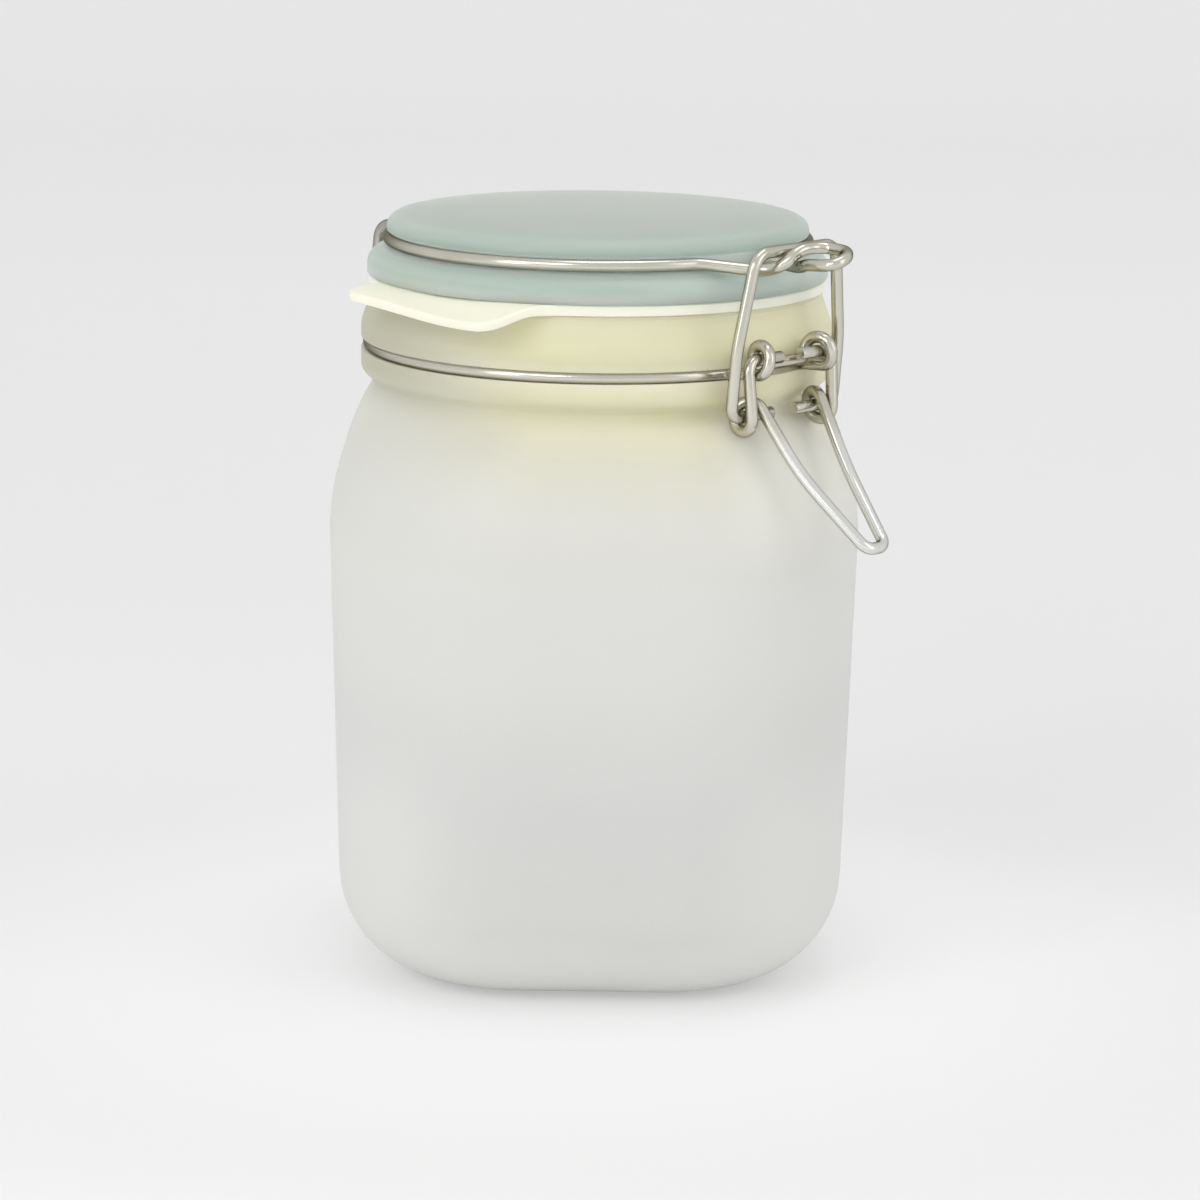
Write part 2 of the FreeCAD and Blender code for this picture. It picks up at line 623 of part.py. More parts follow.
# Every object is sound before anything is written
pieces = [jar, lid, gasket, neckRing, lidRing, lever, bail]
for item in doc.Objects:
    if "Invalid" in item.State or "Error" in item.State:
        raise RuntimeError(f"{item.Name} failed: {item.State}")
for item in pieces:
    if item.Shape.isNull() or not item.Shape.isValid() or len(item.Shape.Solids) != 1:
        raise RuntimeError(f"{item.Name} is not one sound solid")
os.makedirs("parts", exist_ok=True)
for item in pieces:
    item.Label = item.Name
    item.Shape.exportStep(os.path.join("parts", item.Label + ".step"))
    box = item.Shape.BoundBox
    print(f"{item.Label}: {item.Shape.Volume:.0f} mm3, z {box.ZMin:.2f} to {box.ZMax:.2f}")
print(f"lever axis r {eyeR:.3f} z {eyeZ:.3f}, bail axis r {pinR:.3f} z {pinZ:.3f}")
print(f"bail's bar r {seatR:.3f} z {seatZ:.3f}")
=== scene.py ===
import bmesh
import bpy
import math
from mathutils import Matrix, Vector


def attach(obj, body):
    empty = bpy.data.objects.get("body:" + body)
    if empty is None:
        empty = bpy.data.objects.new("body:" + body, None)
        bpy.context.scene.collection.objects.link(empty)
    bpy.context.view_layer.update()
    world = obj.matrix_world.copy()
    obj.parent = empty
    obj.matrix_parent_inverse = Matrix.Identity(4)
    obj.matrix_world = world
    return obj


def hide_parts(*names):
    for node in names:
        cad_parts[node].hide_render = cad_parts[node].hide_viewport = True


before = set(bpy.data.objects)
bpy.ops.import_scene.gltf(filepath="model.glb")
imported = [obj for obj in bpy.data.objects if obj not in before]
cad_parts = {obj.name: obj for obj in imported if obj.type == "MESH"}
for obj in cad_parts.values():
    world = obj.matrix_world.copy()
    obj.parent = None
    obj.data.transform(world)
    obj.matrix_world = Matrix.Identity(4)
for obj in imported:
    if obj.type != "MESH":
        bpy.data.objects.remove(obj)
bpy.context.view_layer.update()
scene = bpy.context.scene
mm = 0.001
tiny = 1e-6  # points closer than this are one
quarterTurn = math.radians(90)
clipWay = (0.731, -0.682, 0)  # from the axis towards the clip
print("frame loaded:", len(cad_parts), "nodes")


class Flow:  # a socket in a node tree, so that shader maths reads as sums
    def __init__(self, tree, socket=None):
        self.tree = tree
        self.socket = socket

    def node(self, kind, settings=None, inputs=None, output=0):
        made = self.tree.nodes.new("ShaderNode" + kind)
        for key, value in (settings or {}).items():
            if key == "stops":
                ramp = made.color_ramp.elements
                while len(ramp) < len(value):
                    ramp.new(0.5)
                for stop, (position, colour) in zip(ramp, value):
                    stop.position = position
                    stop.color = (*colour, 1)
            else:
                setattr(made, key, value)
        for key, value in (inputs or {}).items():
            if isinstance(value, Flow):
                self.tree.links.new(value.socket, made.inputs[key])
            else:
                made.inputs[key].default_value = value
        return Flow(self.tree, made.outputs[output] if made.outputs else None)

    def sum(self, operation, first, second):
        return self.node("Math", {"operation": operation}, {0: first, 1: second})

    def __add__(self, other):
        return self.sum("ADD", self, other)

    def __sub__(self, other):
        return self.sum("SUBTRACT", self, other)

    def __rsub__(self, other):
        return self.sum("SUBTRACT", other, self)

    def __mul__(self, other):
        return self.sum("MULTIPLY", self, other)

    def __truediv__(self, other):
        return self.sum("DIVIDE", self, other)

    __radd__ = __add__
    __rmul__ = __mul__


def newFinish(name):
    material = bpy.data.materials.new(name)
    material.use_nodes = True
    material.node_tree.nodes.clear()
    return material, Flow(material.node_tree)


def endFinish(flow, inputs):
    shader = flow.node("BsdfPrincipled", inputs=inputs)
    flow.node("OutputMaterial", inputs={0: shader})


def srgb(red, green, blue):
    return tuple(((c / 255 + 0.055) / 1.055) ** 2.4 if c > 10 else c / 3294 for c in (red, green, blue))


def blendColours(flow, factor, first, second):
    # each colour is a node's or a plain one
    first, second = ((*colour, 1) if isinstance(colour, tuple) else colour for colour in (first, second))
    return flow.node("Mix", {"data_type": "RGBA"}, {0: factor, 6: first, 7: second}, 2)


def easeBetween(flow, value, ends):
    # 0 to 1, eased, as the value goes from one end to the other
    return flow.node("MapRange", {"interpolation_type": "SMOOTHSTEP"}, {0: value, 1: ends[0], 2: ends[1]})


def coordinate(flow, place, axis):
    return flow.node("SeparateXYZ", inputs={0: place}, output=axis)


def distanceOut(flow, place):
    # distance from the upright axis
    flat = flow.node("VectorMath", {"operation": "MULTIPLY"}, {0: place, 1: (1, 1, 0)})
    return flow.node("VectorMath", {"operation": "LENGTH"}, {0: flat}, "Value")


def towardsClip(flow, place):
    # distance from the axis in the clip's direction, and below zero on the hinge's side
    return flow.node("VectorMath", {"operation": "DOT_PRODUCT"}, {0: place, 1: clipWay}, "Value")


def noise(flow, place, scale, detail):
    return flow.node("TexNoise", inputs={"Vector": place, "Scale": scale, "Detail": detail})


def pits(flow, grain, strength, depth):
    return flow.node("Bump", inputs={"Strength": strength, "Distance": depth, "Height": grain})


def makePiece(name, bm, body, nodes, material):
    bmesh.ops.recalc_face_normals(bm, faces=bm.faces)
    for face in bm.faces:
        face.smooth = True
    mesh = bpy.data.meshes.new(name)
    bm.to_mesh(mesh)
    bm.free()
    mesh.materials.append(material)
    piece = bpy.data.objects.new(name, mesh)
    scene.collection.objects.link(piece)
    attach(piece, body)
    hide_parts(*nodes)
    print("made", name, len(mesh.polygons), "faces")


def spinRound(bm, steps):
    bmesh.ops.spin(bm, geom=list(bm.verts) + list(bm.edges), cent=(0, 0, 0), axis=(0, 0, 1), dvec=(0, 0, 0),
                   angle=math.tau, steps=steps, use_merge=True, use_duplicate=False)


def ringEdges(bm, sharp):
    # level edges round a spun or lofted form, where its profile turns by more than sharp
    return [
        e for e in bm.edges
        if len(e.link_faces) == 2 and abs(e.verts[0].co.z - e.verts[1].co.z) < tiny / 10
        and e.calc_face_angle(0) > sharp
    ]


def roundEdges(bm, edges, rounding, segments):
    bmesh.ops.bevel(bm, geom=edges, offset=rounding * mm, offset_type="OFFSET", segments=segments,
                    profile=0.5, affect="EDGES", material=-1, clamp_overlap=True)


rings = {"sharp": 0.05, "segments": 6}


def roundRings(bm, profile):
    # each ring of a turned profile gets its own rounding
    for r, z, rounding in profile:
        if rounding:
            ring = [e for e in ringEdges(bm, rings["sharp"])
                    if abs(e.verts[0].co.xy.length - r * mm) < tiny and abs(e.verts[0].co.z - z * mm) < tiny]
            roundEdges(bm, ring, rounding, rings["segments"])


# Frosted jar

jar = {
    "segments": 144, "baseSteps": 12, "sideSteps": 6, "shoulderSteps": 14,
    "baseHalf": 53.2, "spread": 2.75, "corner": 38, "baseRound": 22,
    "seat": (30.2, 15, 0.6),  # half width, corner and height
    "seatRound": (0.2, 3), "seatSharp": 0.3, "seatZone": 1,  # rounding and segments
    "shoulder": 97, "waist": 126.6, "shoulderHalf": 55.95, "waistRadius": 47.3, "waistCorner": 0.985,
    "wall": 4, "floor": 6,
    "neck": [  # radius, height and rounding
        (47.3, 126.6, 0.9), (50.2, 129.06, 1.2), (50.2, 133.5, 0.3), (48.6, 133.2, 0.3),
        (47.23, 133.9, 0.3), (47.23, 135.3, 0.3), (48.6, 136.0, 0.3), (50.2, 135.75, 0.3),
        (50.2, 139.14, 1.2), (47.9, 145.55, 0.9), (47.9, 147.15, 0.9), (43.9, 147.15, 0.6),
        (42.6, 145.85, 0.6), (42.6, 126.6, 0),
    ],
    "rim": 147.15,
    "tintAndPaintedLight": [  # share of the rim's height, colour: the glass's own tint, warm at the neck, with painted light lifting the shade at the base, at the waist and at the neck wire's seat
        (0.0, srgb(240, 240, 237)), (0.12, srgb(220, 220, 217)), (0.3, srgb(219, 219, 217)),
        (0.5, srgb(227, 227, 224)), (0.62, srgb(228, 228, 224)), (0.72, srgb(229, 228, 220)),
        (0.8, srgb(226, 224, 206)), (0.85, srgb(233, 230, 202)), (0.88, srgb(219, 216, 181)),
        (0.915, srgb(246, 243, 212)), (0.94, srgb(225, 222, 186)), (1.0, srgb(236, 233, 198)),
    ],
    # painted shading at the sides, how far across it begins and ends, and at what heights
    "neckSide": srgb(181, 179, 151), "neckReach": (-0.012, -0.05), "neckFrom": (0.122, 0.132),
    "shoulderSide": srgb(223, 224, 219), "shoulderReach": (-0.01, -0.046), "shoulderFrom": (0.094, 0.106),
    "heelSide": srgb(232, 232, 229), "heelReach": (0.02, 0.045), "heelFrom": (0.066, 0.036),
    "sideShare": 0.75,
    # painted light beside the clip, lifting the shade the clip casts on the shoulder and neck
    "clipShoulderPaintedLight": srgb(247, 246, 236), "clipNeckPaintedLight": srgb(250, 246, 208),
    "clipReach": (0.92, 1.0), "clipFrom": (0.09, 0.118), "clipShare": 0.7,
    # painted light in the neck wire's groove, lifting the shade between wire and glass
    "groove": srgb(252, 250, 236), "grooveFoot": (0.1331, 0.1336), "grooveTop": (0.1364, 0.1358),
    "grooveDepth": (0.0501, 0.0494),
    "cloud": (26, 3), "grain": (2600, 2),  # scale and detail
    "tintWander": 0.06, "roughWander": 0.16, "pits": (0.12, 0.0002),
    "roughness": 0.55, "bending": 1.46, "transmission": 0.1,
    "subsurface": 0.4, "scatter": (1.0, 1.0, 0.95), "scatterReach": 0.006,
}


def squareReach(half, corner, angle):
    # distance from the axis to a rounded square's side at an angle
    x, y = abs(math.cos(angle)), abs(math.sin(angle))
    flat = half - corner
    x, y = max(x, y), min(x, y)
    if half * y / x <= flat:
        return half / x
    along = flat * (x + y)
    return along + math.sqrt(max(along * along - 2 * flat * flat + corner * corner, 0))


def jarLevels(inset, floor, top):
    # half width, corner radius and height from the base's edge up to the waist
    levels = []
    rounding = jar["baseRound"] - inset
    half, corner = jar["baseHalf"] - inset, jar["corner"] - inset
    for i in range(jar["baseSteps"] + 1):
        turn = quarterTurn * i / jar["baseSteps"]
        back = rounding * (1 - math.sin(turn))
        z = floor + rounding * (1 - math.cos(turn))
        grow = jar["spread"] * (z - floor) / (jar["shoulder"] - floor)
        levels.append((half + grow - back, corner + grow - back, z))
    heel = levels[-1][2]
    for i in range(1, jar["sideSteps"]):
        z = heel + (jar["shoulder"] - heel) * i / jar["sideSteps"]
        grow = jar["spread"] * (z - floor) / (jar["shoulder"] - floor)
        levels.append((half + grow, corner + grow, z))
    half, corner = jar["shoulderHalf"] - inset, corner + jar["spread"]
    for i in range(jar["shoulderSteps"]):
        share = i / jar["shoulderSteps"]
        levels.append((
            half + (top - half) * share ** 2,
            corner + (top * jar["waistCorner"] - corner) * share ** 2,
            jar["shoulder"] + (jar["waist"] - jar["shoulder"]) * share,
        ))
    return levels


def makeJar(material):
    seatHalf, seatCorner, seatTop = jar["seat"]
    seat = [(seatHalf, seatCorner, 0), jar["seat"]]
    outside = jarLevels(0, seatTop, jar["waistRadius"])
    inside = jarLevels(jar["wall"], jar["floor"], jar["neck"][-1][0])
    neck = [(r, r, z) for r, z, rounding in jar["neck"]]
    levels = seat + outside + neck + inside[::-1]
    bm = bmesh.new()
    made = bmesh.ops.create_circle(bm, segments=jar["segments"], radius=1)["verts"]
    base = bm.faces.new(made)
    loop = list(base.edges)
    for i, (half, corner, z) in enumerate(levels):
        if i:
            grown = bmesh.ops.extrude_edge_only(bm, edges=loop)["geom"]
            loop = [g for g in grown if isinstance(g, bmesh.types.BMEdge) and g.is_boundary]
        for vert in {v for e in loop for v in e.verts}:
            angle = math.atan2(vert.co.y, vert.co.x)
            reach = squareReach(half, corner, angle) * mm
            vert.co = (reach * math.cos(angle), reach * math.sin(angle), z * mm)
    bmesh.ops.holes_fill(bm, edges=loop)
    seatEdges = [e for e in ringEdges(bm, jar["seatSharp"]) if e.verts[0].co.z < jar["seatZone"] * mm]
    roundEdges(bm, seatEdges, *jar["seatRound"])
    roundRings(bm, jar["neck"])
    makePiece("frosted_jar", bm, "jar", ["jar"], material)


def frostedFinish():
    material, flow = newFinish("frostedGlass")
    place = flow.node("TexCoord", output="Object")
    across = coordinate(flow, place, "X")
    height = coordinate(flow, place, "Z")
    radius = distanceOut(flow, place)
    cloud = noise(flow, place, *jar["cloud"]) - 0.5
    grain = noise(flow, place, *jar["grain"])
    # the colour up the jar, with painted light lifting the shade at the base, the waist and the neck wire's
    # seat
    level = height / (jar["rim"] * mm) + cloud * jar["tintWander"]
    tintAndPaintedLight = flow.node("ValToRGB", {"stops": jar["tintAndPaintedLight"]}, {0: level})
    offCentre = flow.node("Math", {"operation": "ABSOLUTE"}, {0: across})
    # painted shading: the left of the shoulder and neck is greyer as painted shade, and both sides of the
    # heel are lighter as painted light
    for zone, reach in (("shoulder", across), ("neck", across), ("heel", offCentre)):
        share = easeBetween(flow, reach, jar[zone + "Reach"]) * easeBetween(flow, height, jar[zone + "From"])
        tintAndPaintedLight = blendColours(flow, share * jar["sideShare"], tintAndPaintedLight, jar[zone + "Side"])
    # painted light behind the clip, lifting the shade the clip casts on the shoulder and neck
    clipPaintedLight = blendColours(flow, easeBetween(flow, height, jar["neckFrom"]), jar["clipShoulderPaintedLight"], jar["clipNeckPaintedLight"])
    clear = easeBetween(flow, towardsClip(flow, place) / radius, jar["clipReach"])
    clear = clear * easeBetween(flow, height, jar["clipFrom"]) * jar["clipShare"]
    tintAndPaintedLight = blendColours(flow, clear, tintAndPaintedLight, clipPaintedLight)
    # painted light in the neck wire's groove, lifting the shade between wire and glass
    groove = easeBetween(flow, height, jar["grooveFoot"]) * easeBetween(flow, height, jar["grooveTop"])
    groove = groove * easeBetween(flow, radius, jar["grooveDepth"])
    tintAndPaintedLight = blendColours(flow, groove, tintAndPaintedLight, jar["groove"])
    endFinish(flow, {
        "Base Color": tintAndPaintedLight, "Roughness": jar["roughness"] + cloud * jar["roughWander"],
        "Normal": pits(flow, grain, *jar["pits"]),
        "IOR": jar["bending"], "Transmission Weight": jar["transmission"],
        "Subsurface Weight": jar["subsurface"], "Subsurface Radius": jar["scatter"],
        "Subsurface Scale": jar["scatterReach"],
    })
    return material


makeJar(frostedFinish())

# Lid

lid = {
    "segments": 144,
    "profile": [  # radius, height and rounding, from the middle of the top down, round and under
        (0, 161.9, 0), (44.85, 161.9, 2.7), (44.85, 158.45, 0.3), (43.23, 158.35, 0.5),
        (43.23, 155.63, 0.5), (44.6, 155.5, 0.4), (46.2, 155.0, 0.8), (47.8, 154.05, 0.8),
        (48.75, 152.9, 0.6), (49, 151.7, 0.5), (49, 149.35, 0.5), (40, 149.35, 0),
        (40, 144.4, 1), (36.4, 144.4, 1), (34.96, 158.0, 1), (0, 158.0, 0),
    ],
    "centre": srgb(180, 190, 180), "rim": srgb(172, 186, 175), "rimFrom": (0.024, 0.038),
    # the rear of the top is lighter, a painted reflection
    "rearPaintedReflection": srgb(198, 205, 194), "rearFrom": (-0.02, 0.05),
    # tints down the side, and the heights where each comes in
    "edge": srgb(168, 187, 175), "edgeFrom": (0.1616, 0.159),
    "flange": srgb(178, 198, 184), "flangeFrom": (0.156, 0.1535),
    # the flange's foot is lighter, painted light lifting the shade where it turns under to the gasket
    "flangeFoot": srgb(214, 231, 217), "flangeFootFrom": (0.1525, 0.15),
    # painted light on the flange beside the clip, lifting the clip's shade
    "clipSide": srgb(194, 214, 200), "clipFrom": (0.034, 0.05),
    # painted light in the wire's groove, lifting the shade between wire and glass
    "groove": srgb(226, 238, 230), "grooveTop": (0.159, 0.1583), "grooveFoot": (0.1544, 0.1557),
    "cloud": (30, 3), "grain": (2600, 2), "rimWander": 0.004, "roughWander": 0.16, "pits": (0.1, 0.0002),
    "roughness": 0.42, "bending": 1.5, "transmission": 0.08,
    "subsurface": 0.9, "scatter": (0.95, 1.0, 0.97), "scatterReach": 0.02,
}


def makeLid(material):
    bm = bmesh.new()
    points = [bm.verts.new((r * mm, 0, z * mm)) for r, z, rounding in lid["profile"]]
    for pair in zip(points, points[1:]):
        bm.edges.new(pair)
    spinRound(bm, lid["segments"])
    bmesh.ops.remove_doubles(bm, verts=bm.verts, dist=tiny)
    bmesh.ops.recalc_face_normals(bm, faces=bm.faces)
    roundRings(bm, lid["profile"])
    makePiece("glass_lid", bm, "lid", ["lid"], material)


def lidFinish():
    material, flow = newFinish("greenGlass")
    place = flow.node("TexCoord", output="Object")
    height = coordinate(flow, place, "Z")
    cloud = noise(flow, place, *lid["cloud"]) - 0.5
    grain = noise(flow, place, *lid["grain"])
    outer = easeBetween(flow, distanceOut(flow, place) + cloud * lid["rimWander"], lid["rimFrom"])
    colour = blendColours(flow, outer, lid["centre"], lid["rim"])
    # painted reflection: the rear of the top is lighter
    back = easeBetween(flow, coordinate(flow, place, "Y"), lid["rearFrom"])
    colour = blendColours(flow, back, colour, lid["rearPaintedReflection"])
    # the edge and flange tints, and painted light on the flange's foot
    for zone in ("edge", "flange", "flangeFoot"):
        colour = blendColours(flow, easeBetween(flow, height, lid[zone + "From"]), colour, lid[zone])
    # painted light on the flange beside the clip
    clear = easeBetween(flow, towardsClip(flow, place), lid["clipFrom"])
    clear = clear * easeBetween(flow, height, lid["flangeFrom"])
    colour = blendColours(flow, clear, colour, lid["clipSide"])
    # painted light in the wire's groove
    groove = easeBetween(flow, height, lid["grooveTop"]) * easeBetween(flow, height, lid["grooveFoot"])
    colour = blendColours(flow, groove, colour, lid["groove"])
    endFinish(flow, {
        "Base Color": colour, "Roughness": lid["roughness"] + cloud * lid["roughWander"],
        "Normal": pits(flow, grain, *lid["pits"]),
        "IOR": lid["bending"], "Transmission Weight": lid["transmission"],
        "Subsurface Weight": lid["subsurface"], "Subsurface Radius": lid["scatter"],
        "Subsurface Scale": lid["scatterReach"],
    })
    return material


makeLid(lidFinish())

# Gasket

gasket = {
    "steps": 240, "across": 8,
    "inner": 40.3, "outer": 48.6, "low": 147.15, "high": 149.35, "edgeRound": (0.35, 3), "edgeSharp": 1,
    "tabTurn": math.radians(-41), "tabSpan": math.radians(50),
    "tabEnd": 57.6, "tabHalf": 19.6, "tabSlope": 0.3, "tabThickness": 1.95, "thinOver": 4,
    "cornerSoftness": 6, "rootSoftness": 3,
    "droop": 2.65, "droopFrom": 45.5, "droopSides": (-22, 14),  # one side of the tab hangs lower
    "ring": srgb(255, 253, 229), "tab": srgb(244, 241, 222), "tabFrom": (0.0487, 0.0505),
    "deep": srgb(248, 245, 220), "deepShare": 0.5,
    "cloud": (90, 3), "grain": (1400, 2), "roughWander": 0.12, "pits": (0.1, 0.0002),
    "roughness": 0.34, "subsurface": 0.4, "scatter": (1.0, 0.9, 0.6), "scatterReach": 0.004,
}


def softMin(a, b, width):
    share = max(width - abs(a - b), 0) / width
    return min(a, b) - share * share * width / 4


def tabReach(angle):
    # distance from the axis to the gasket's outer edge at an angle from the tab
    if abs(angle) > gasket["tabSpan"]:
        return gasket["outer"]
    side = gasket["tabHalf"] + gasket["tabSlope"] * gasket["tabEnd"]
    end = gasket["tabEnd"] / math.cos(angle)
    flank = side / (math.sin(abs(angle)) + gasket["tabSlope"] * math.cos(angle))
    tab = softMin(end, flank, gasket["cornerSoftness"])
    return -softMin(-tab, -gasket["outer"], gasket["rootSoftness"])


def smooth(low, high, value):
    share = min(max((value - low) / (high - low), 0), 1)
    return share * share * (3 - 2 * share)


def makeGasket(material):
    bm = bmesh.new()
    inner, outer, low, high = (gasket[key] * mm for key in ("inner", "outer", "low", "high"))
    section = ((inner, low), (outer, low), (outer, high), (inner, high))
    corners = [bm.verts.new((r, 0, z)) for r, z in section]
    edges = [bm.edges.new((corners[i - 1], corners[i])) for i in range(4)]
    bmesh.ops.subdivide_edges(bm, edges=[edges[1], edges[3]], cuts=gasket["across"])
    spinRound(bm, gasket["steps"])
    bmesh.ops.recalc_face_normals(bm, faces=bm.faces)
    roundEdges(bm, ringEdges(bm, gasket["edgeSharp"]), *gasket["edgeRound"])
    towards = Vector((math.sin(gasket["tabTurn"]), -math.cos(gasket["tabTurn"])))
    across = Vector((-towards.y, towards.x))
    middle = (low + high) / 2
    thin = gasket["tabThickness"] * mm / (high - low)
    for vert in bm.verts:
        flat = vert.co.xy
        angle = math.atan2(flat.dot(across), flat.dot(towards))
        reach = tabReach(angle) * mm
        share = (flat.length - inner) / (outer - inner)
        flat = flat.normalized() * (inner + (reach - inner) * share)
        along, side = flat.dot(towards) / mm, flat.dot(across) / mm
        tab = smooth(gasket["outer"], gasket["outer"] + gasket["thinOver"], flat.length / mm)
        z = middle + (vert.co.z - middle) * (1 + (thin - 1) * tab)
        out = smooth(gasket["droopFrom"], gasket["tabEnd"], along)
        z -= gasket["droop"] * mm * out * smooth(*gasket["droopSides"], side)
        vert.co = (flat.x, flat.y, z)
    makePiece("rubber_gasket", bm, "lid", ["gasket"], material)


def rubberFinish():
    material, flow = newFinish("creamRubber")
    place = flow.node("TexCoord", output="Object")
    cloud = noise(flow, place, *gasket["cloud"])
    grain = noise(flow, place, *gasket["grain"])
    outer = easeBetween(flow, distanceOut(flow, place), gasket["tabFrom"])
    colour = blendColours(flow, outer, gasket["ring"], gasket["tab"])
    colour = blendColours(flow, cloud * gasket["deepShare"], colour, gasket["deep"])
    endFinish(flow, {
        "Base Color": colour, "Roughness": gasket["roughness"] + cloud * gasket["roughWander"],
        "Normal": pits(flow, grain, *gasket["pits"]),
        "Subsurface Weight": gasket["subsurface"], "Subsurface Radius": gasket["scatter"],
        "Subsurface Scale": gasket["scatterReach"],
    })
    return material


makeGasket(rubberFinish())

# Wires

wires = {  # piece and body for each node
    "neck_ring": ("neck_wire", "jar"), "lid_ring": ("lid_wire", "lid"),
    "lever": ("lever_wire", "lever"), "bail": ("bail_wire", "bail"),
}
steel = {
    "merge": 2e-6, "endSharp": 1.2, "endRound": (0.18, 2),
    "light": srgb(215, 213, 202), "dark": srgb(201, 198, 184), "edge": srgb(128, 125, 114),
    # painted shade: the steel on the hinge's side is darker
    "hinge": srgb(176, 174, 168), "hingeReach": (-0.044, -0.05),
    # a painted highlight: the lever's handle is lighter
    "handle": srgb(229, 229, 225), "handleReach": (0.055, 0.064), "handleFrom": (0.128, 0.12),
    "cloud": (160, 4), "grain": (1500, 2), "pits": (0.015, 0.0001),
    "roughness": 0.21, "roughWander": 0.05,
}


def steelFinish():
    material, flow = newFinish("satinSteel")
    place = flow.node("TexCoord", output="Object")
    cloud = noise(flow, place, *steel["cloud"])
    grain = noise(flow, place, *steel["grain"])
    colour = blendColours(flow, cloud, steel["light"], steel["dark"])
    along = towardsClip(flow, place)
    # painted shade on the hinge's side
    colour = blendColours(flow, easeBetween(flow, along, steel["hingeReach"]), colour, steel["hinge"])
    # a painted highlight on the lever's handle
    handle = easeBetween(flow, along, steel["handleReach"])
    handle = handle * easeBetween(flow, coordinate(flow, place, "Z"), steel["handleFrom"])
    colour = blendColours(flow, handle, colour, steel["handle"])
    endFinish(flow, {
        "Base Color": colour, "Metallic": 1.0, "Specular Tint": (*steel["edge"], 1),
        "Roughness": steel["roughness"] + (grain - 0.5) * steel["roughWander"],
        "Normal": pits(flow, grain, *steel["pits"]),
    })
    return material


def makeWires(material):
    for node, (name, body) in wires.items():
        bm = bmesh.new()
        bm.from_mesh(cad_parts[node].data)
        bmesh.ops.remove_doubles(bm, verts=bm.verts, dist=steel["merge"])
        ends = [e for e in bm.edges if len(e.link_faces) == 2 and e.calc_face_angle(0) > steel["endSharp"]]
        roundEdges(bm, ends, *steel["endRound"])
        makePiece(name, bm, body, [node], material)


makeWires(steelFinish())

# Stage

stage = {
    "width": 6, "near": -3.0, "far": 1.6, "bend": 0.8, "bendSteps": 12, "top": 3.2,
    "bounce": srgb(246, 246, 246),
    "seen": [  # share of the way from the front of the floor to the backdrop, colour
        (0.0, srgb(252, 252, 252)), (0.16, srgb(250, 250, 250)), (0.215, srgb(238, 238, 238)),
        (0.34, srgb(239, 239, 239)), (0.5, srgb(247, 247, 247)), (1.0, srgb(252, 252, 252)),
    ],
    "seenFrom": 1.0, "seenLength": 4.0, "cloud": (3, 2), "seenWander": 0.02,
    # near the jar the floor is darker and glows for camera, glossy and transmission rays: painted light
    # lifting the jar's shadow
    "beside": srgb(191, 191, 191), "paintedGlowBeside": (0.39, 0.39, 0.39), "besideReach": (0.17, 0.06),
    "roughness": 0.9, "gloss": 0.1,
}


def stageFinish():
    material, flow = newFinish("paleSweep")
    place = flow.node("TexCoord", output="Object")
    cloud = noise(flow, place, *stage["cloud"])
    run = coordinate(flow, place, "Y") + coordinate(flow, place, "Z") + stage["seenFrom"]
    run = run / stage["seenLength"] + (cloud - 0.5) * stage["seenWander"]
    seen = flow.node("ValToRGB", {"stops": stage["seen"]}, {0: run})
    away = flow.node("VectorMath", {"operation": "LENGTH"}, {0: place}, "Value")
    # painted light near the jar, lifting its shadow on the floor
    beside = easeBetween(flow, away, stage["besideReach"])
    seen = blendColours(flow, beside, seen, stage["beside"])
    ray = flow.node("LightPath", output="Is Camera Ray")
    for kind in ("Glossy", "Transmission"):
        ray = ray + flow.node("LightPath", output="Is " + kind + " Ray")
    endFinish(flow, {
        "Base Color": blendColours(flow, ray, stage["bounce"], seen),
        "Roughness": stage["roughness"], "Specular IOR Level": stage["gloss"],
        # painted light near the jar, seen by camera, glossy and transmission rays
        "Emission Color": blendColours(flow, ray * beside, (0, 0, 0), stage["paintedGlowBeside"]),
        "Emission Strength": 1.0,
    })
    return material


def makeStage(material):
    bm = bmesh.new()
    half = stage["width"] / 2
    first = [bm.verts.new((-half, stage["near"], 0)), bm.verts.new((half, stage["near"], 0))]
    loop = [bm.edges.new(first)]
    path = [(stage["far"], 0)]
    for i in range(1, stage["bendSteps"] + 1):
        turn = quarterTurn * i / stage["bendSteps"]
        path.append((stage["far"] + stage["bend"] * math.sin(turn), stage["bend"] * (1 - math.cos(turn))))
    path.append((stage["far"] + stage["bend"], stage["top"]))
    for y, z in path:
        grown = bmesh.ops.extrude_edge_only(bm, edges=loop)["geom"]
        loop = [g for g in grown if isinstance(g, bmesh.types.BMEdge) and g.is_boundary
                and abs(g.verts[0].co.x - g.verts[1].co.x) > half]
        for vert in loop[0].verts:
            vert.co.y, vert.co.z = y, z
    for face in bm.faces:
        face.smooth = True
    mesh = bpy.data.meshes.new("sweep")
    bm.to_mesh(mesh)
    bm.free()
    mesh.materials.append(material)
    sweep = bpy.data.objects.new("sweep", mesh)
    scene.collection.objects.link(sweep)


makeStage(stageFinish())

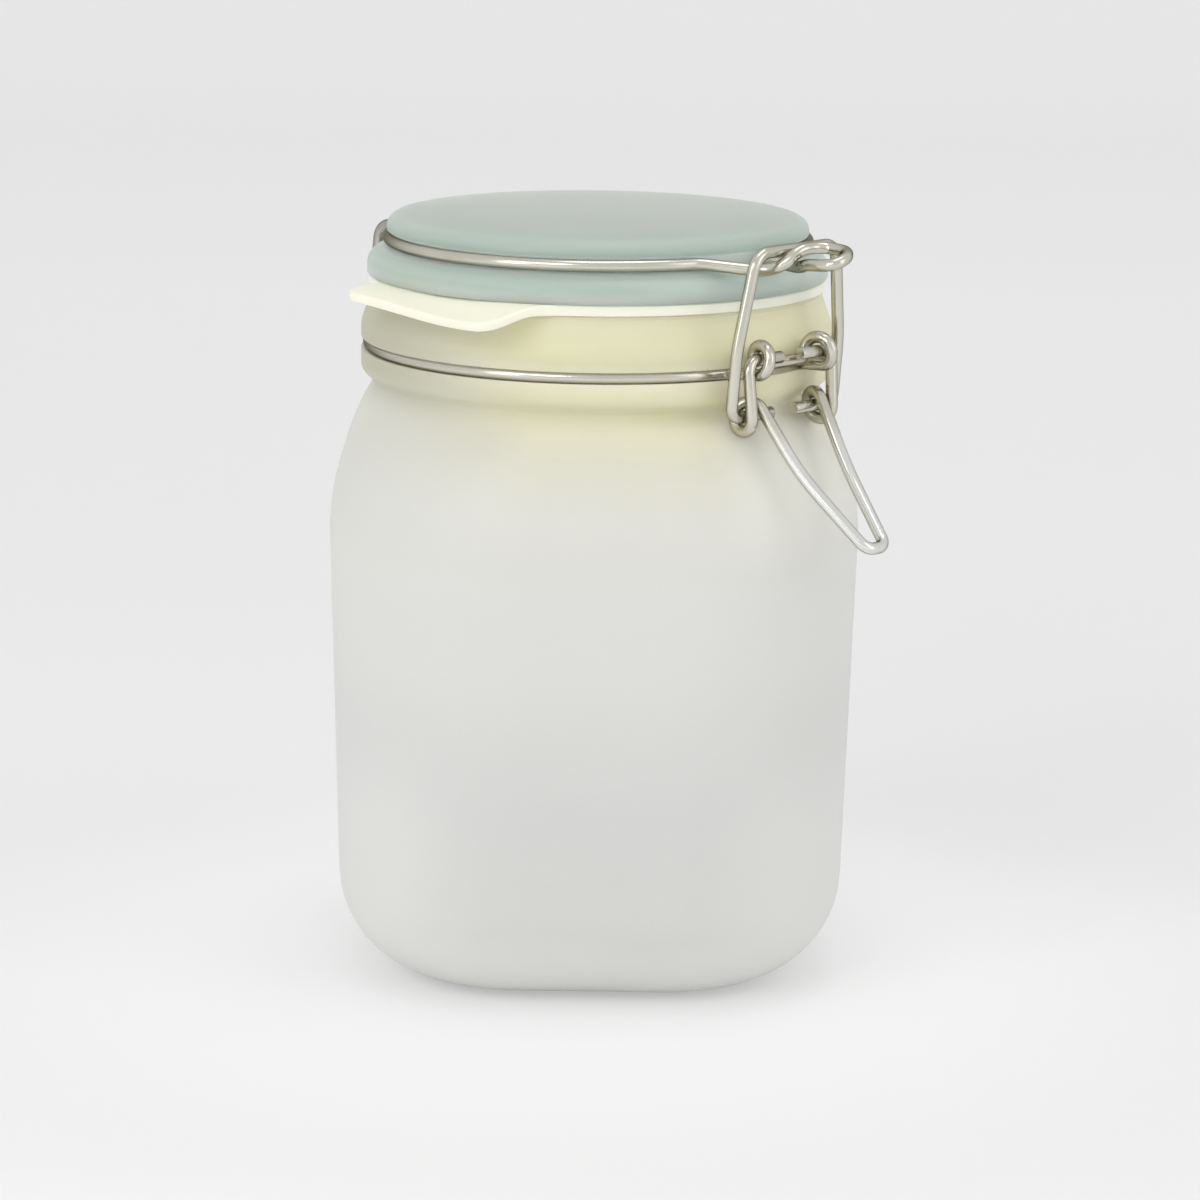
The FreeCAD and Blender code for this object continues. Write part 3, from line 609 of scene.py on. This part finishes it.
lights = {  # place, aim, width, height, power
    "overhead": ((0.1, -0.1, 1.5), (0, 0, 0.08), 0.9, 0.4, 2.8),
    "leftSoftbox": ((-1.1, -1.1, 0.65), (0, 0, 0.08), 0.4, 1.2, 3.3),
    "rightSoftbox": ((1.3, -0.8, 0.65), (0, 0, 0.08), 0.8, 1.2, 2.4),
    "floorWash": ((-0.4, -0.9, 0.6), (-0.3, -0.55, 0), 0.3, 0.3, 1.1),
}
sky = {
    "strength": 0.85,
    "stops": [  # from straight down to straight up
        (0.0, (0.8, 0.8, 0.8)), (0.5, (0.98, 0.98, 0.98)), (0.75, (0.94, 0.94, 0.94)), (1.0, (0.9, 0.9, 0.9)),
    ],
}


def makeLights():
    for name, (spot, aim, width, height, power) in lights.items():
        lamp = bpy.data.lights.new(name, "AREA")
        lamp.shape = "RECTANGLE"
        lamp.size, lamp.size_y = width, height
        lamp.energy = power
        holder = bpy.data.objects.new(name, lamp)
        holder.location = spot
        holder.rotation_euler = (Vector(aim) - Vector(spot)).to_track_quat("-Z", "Y").to_euler()
        scene.collection.objects.link(holder)
    world = bpy.data.worlds.new("studio")
    scene.world = world
    world.use_nodes = True
    world.node_tree.nodes.clear()
    flow = Flow(world.node_tree)
    upward = coordinate(flow, flow.node("TexCoord", output="Generated"), "Z")
    colour = flow.node("ValToRGB", {"stops": sky["stops"]}, {0: upward * 0.5 + 0.5})
    light = flow.node("Background", inputs={0: colour, 1: sky["strength"]})
    flow.node("OutputWorld", inputs={0: light})


makeLights()

camera = {
    "place": (0, -1.0, 0.28907), "lens": 141.95, "sensor": 36, "clip": (0.01, 50),
    "pitch": 0.20781, "yaw": 0.00147, "roll": 0.01343,
}


def makeCamera():
    lens = bpy.data.cameras.new("camera")
    lens.lens = camera["lens"]
    lens.sensor_width = camera["sensor"]
    lens.clip_start, lens.clip_end = camera["clip"]
    pitch, yaw, roll = camera["pitch"], camera["yaw"], camera["roll"]
    right = Vector((math.cos(yaw), -math.sin(yaw), 0))
    ahead = Vector((math.sin(yaw) * math.cos(pitch), math.cos(yaw) * math.cos(pitch), -math.sin(pitch)))
    up = right.cross(ahead)
    rolledRight = right * math.cos(roll) + up * math.sin(roll)
    rolledUp = up * math.cos(roll) - right * math.sin(roll)
    holder = bpy.data.objects.new("camera", lens)
    turned = Matrix((rolledRight, rolledUp, -ahead)).transposed().to_4x4()
    holder.matrix_world = Matrix.Translation(camera["place"]) @ turned
    scene.collection.objects.link(holder)
    scene.camera = holder


makeCamera()
scene.view_settings.view_transform = "Standard"
print("stage, lights and camera set")
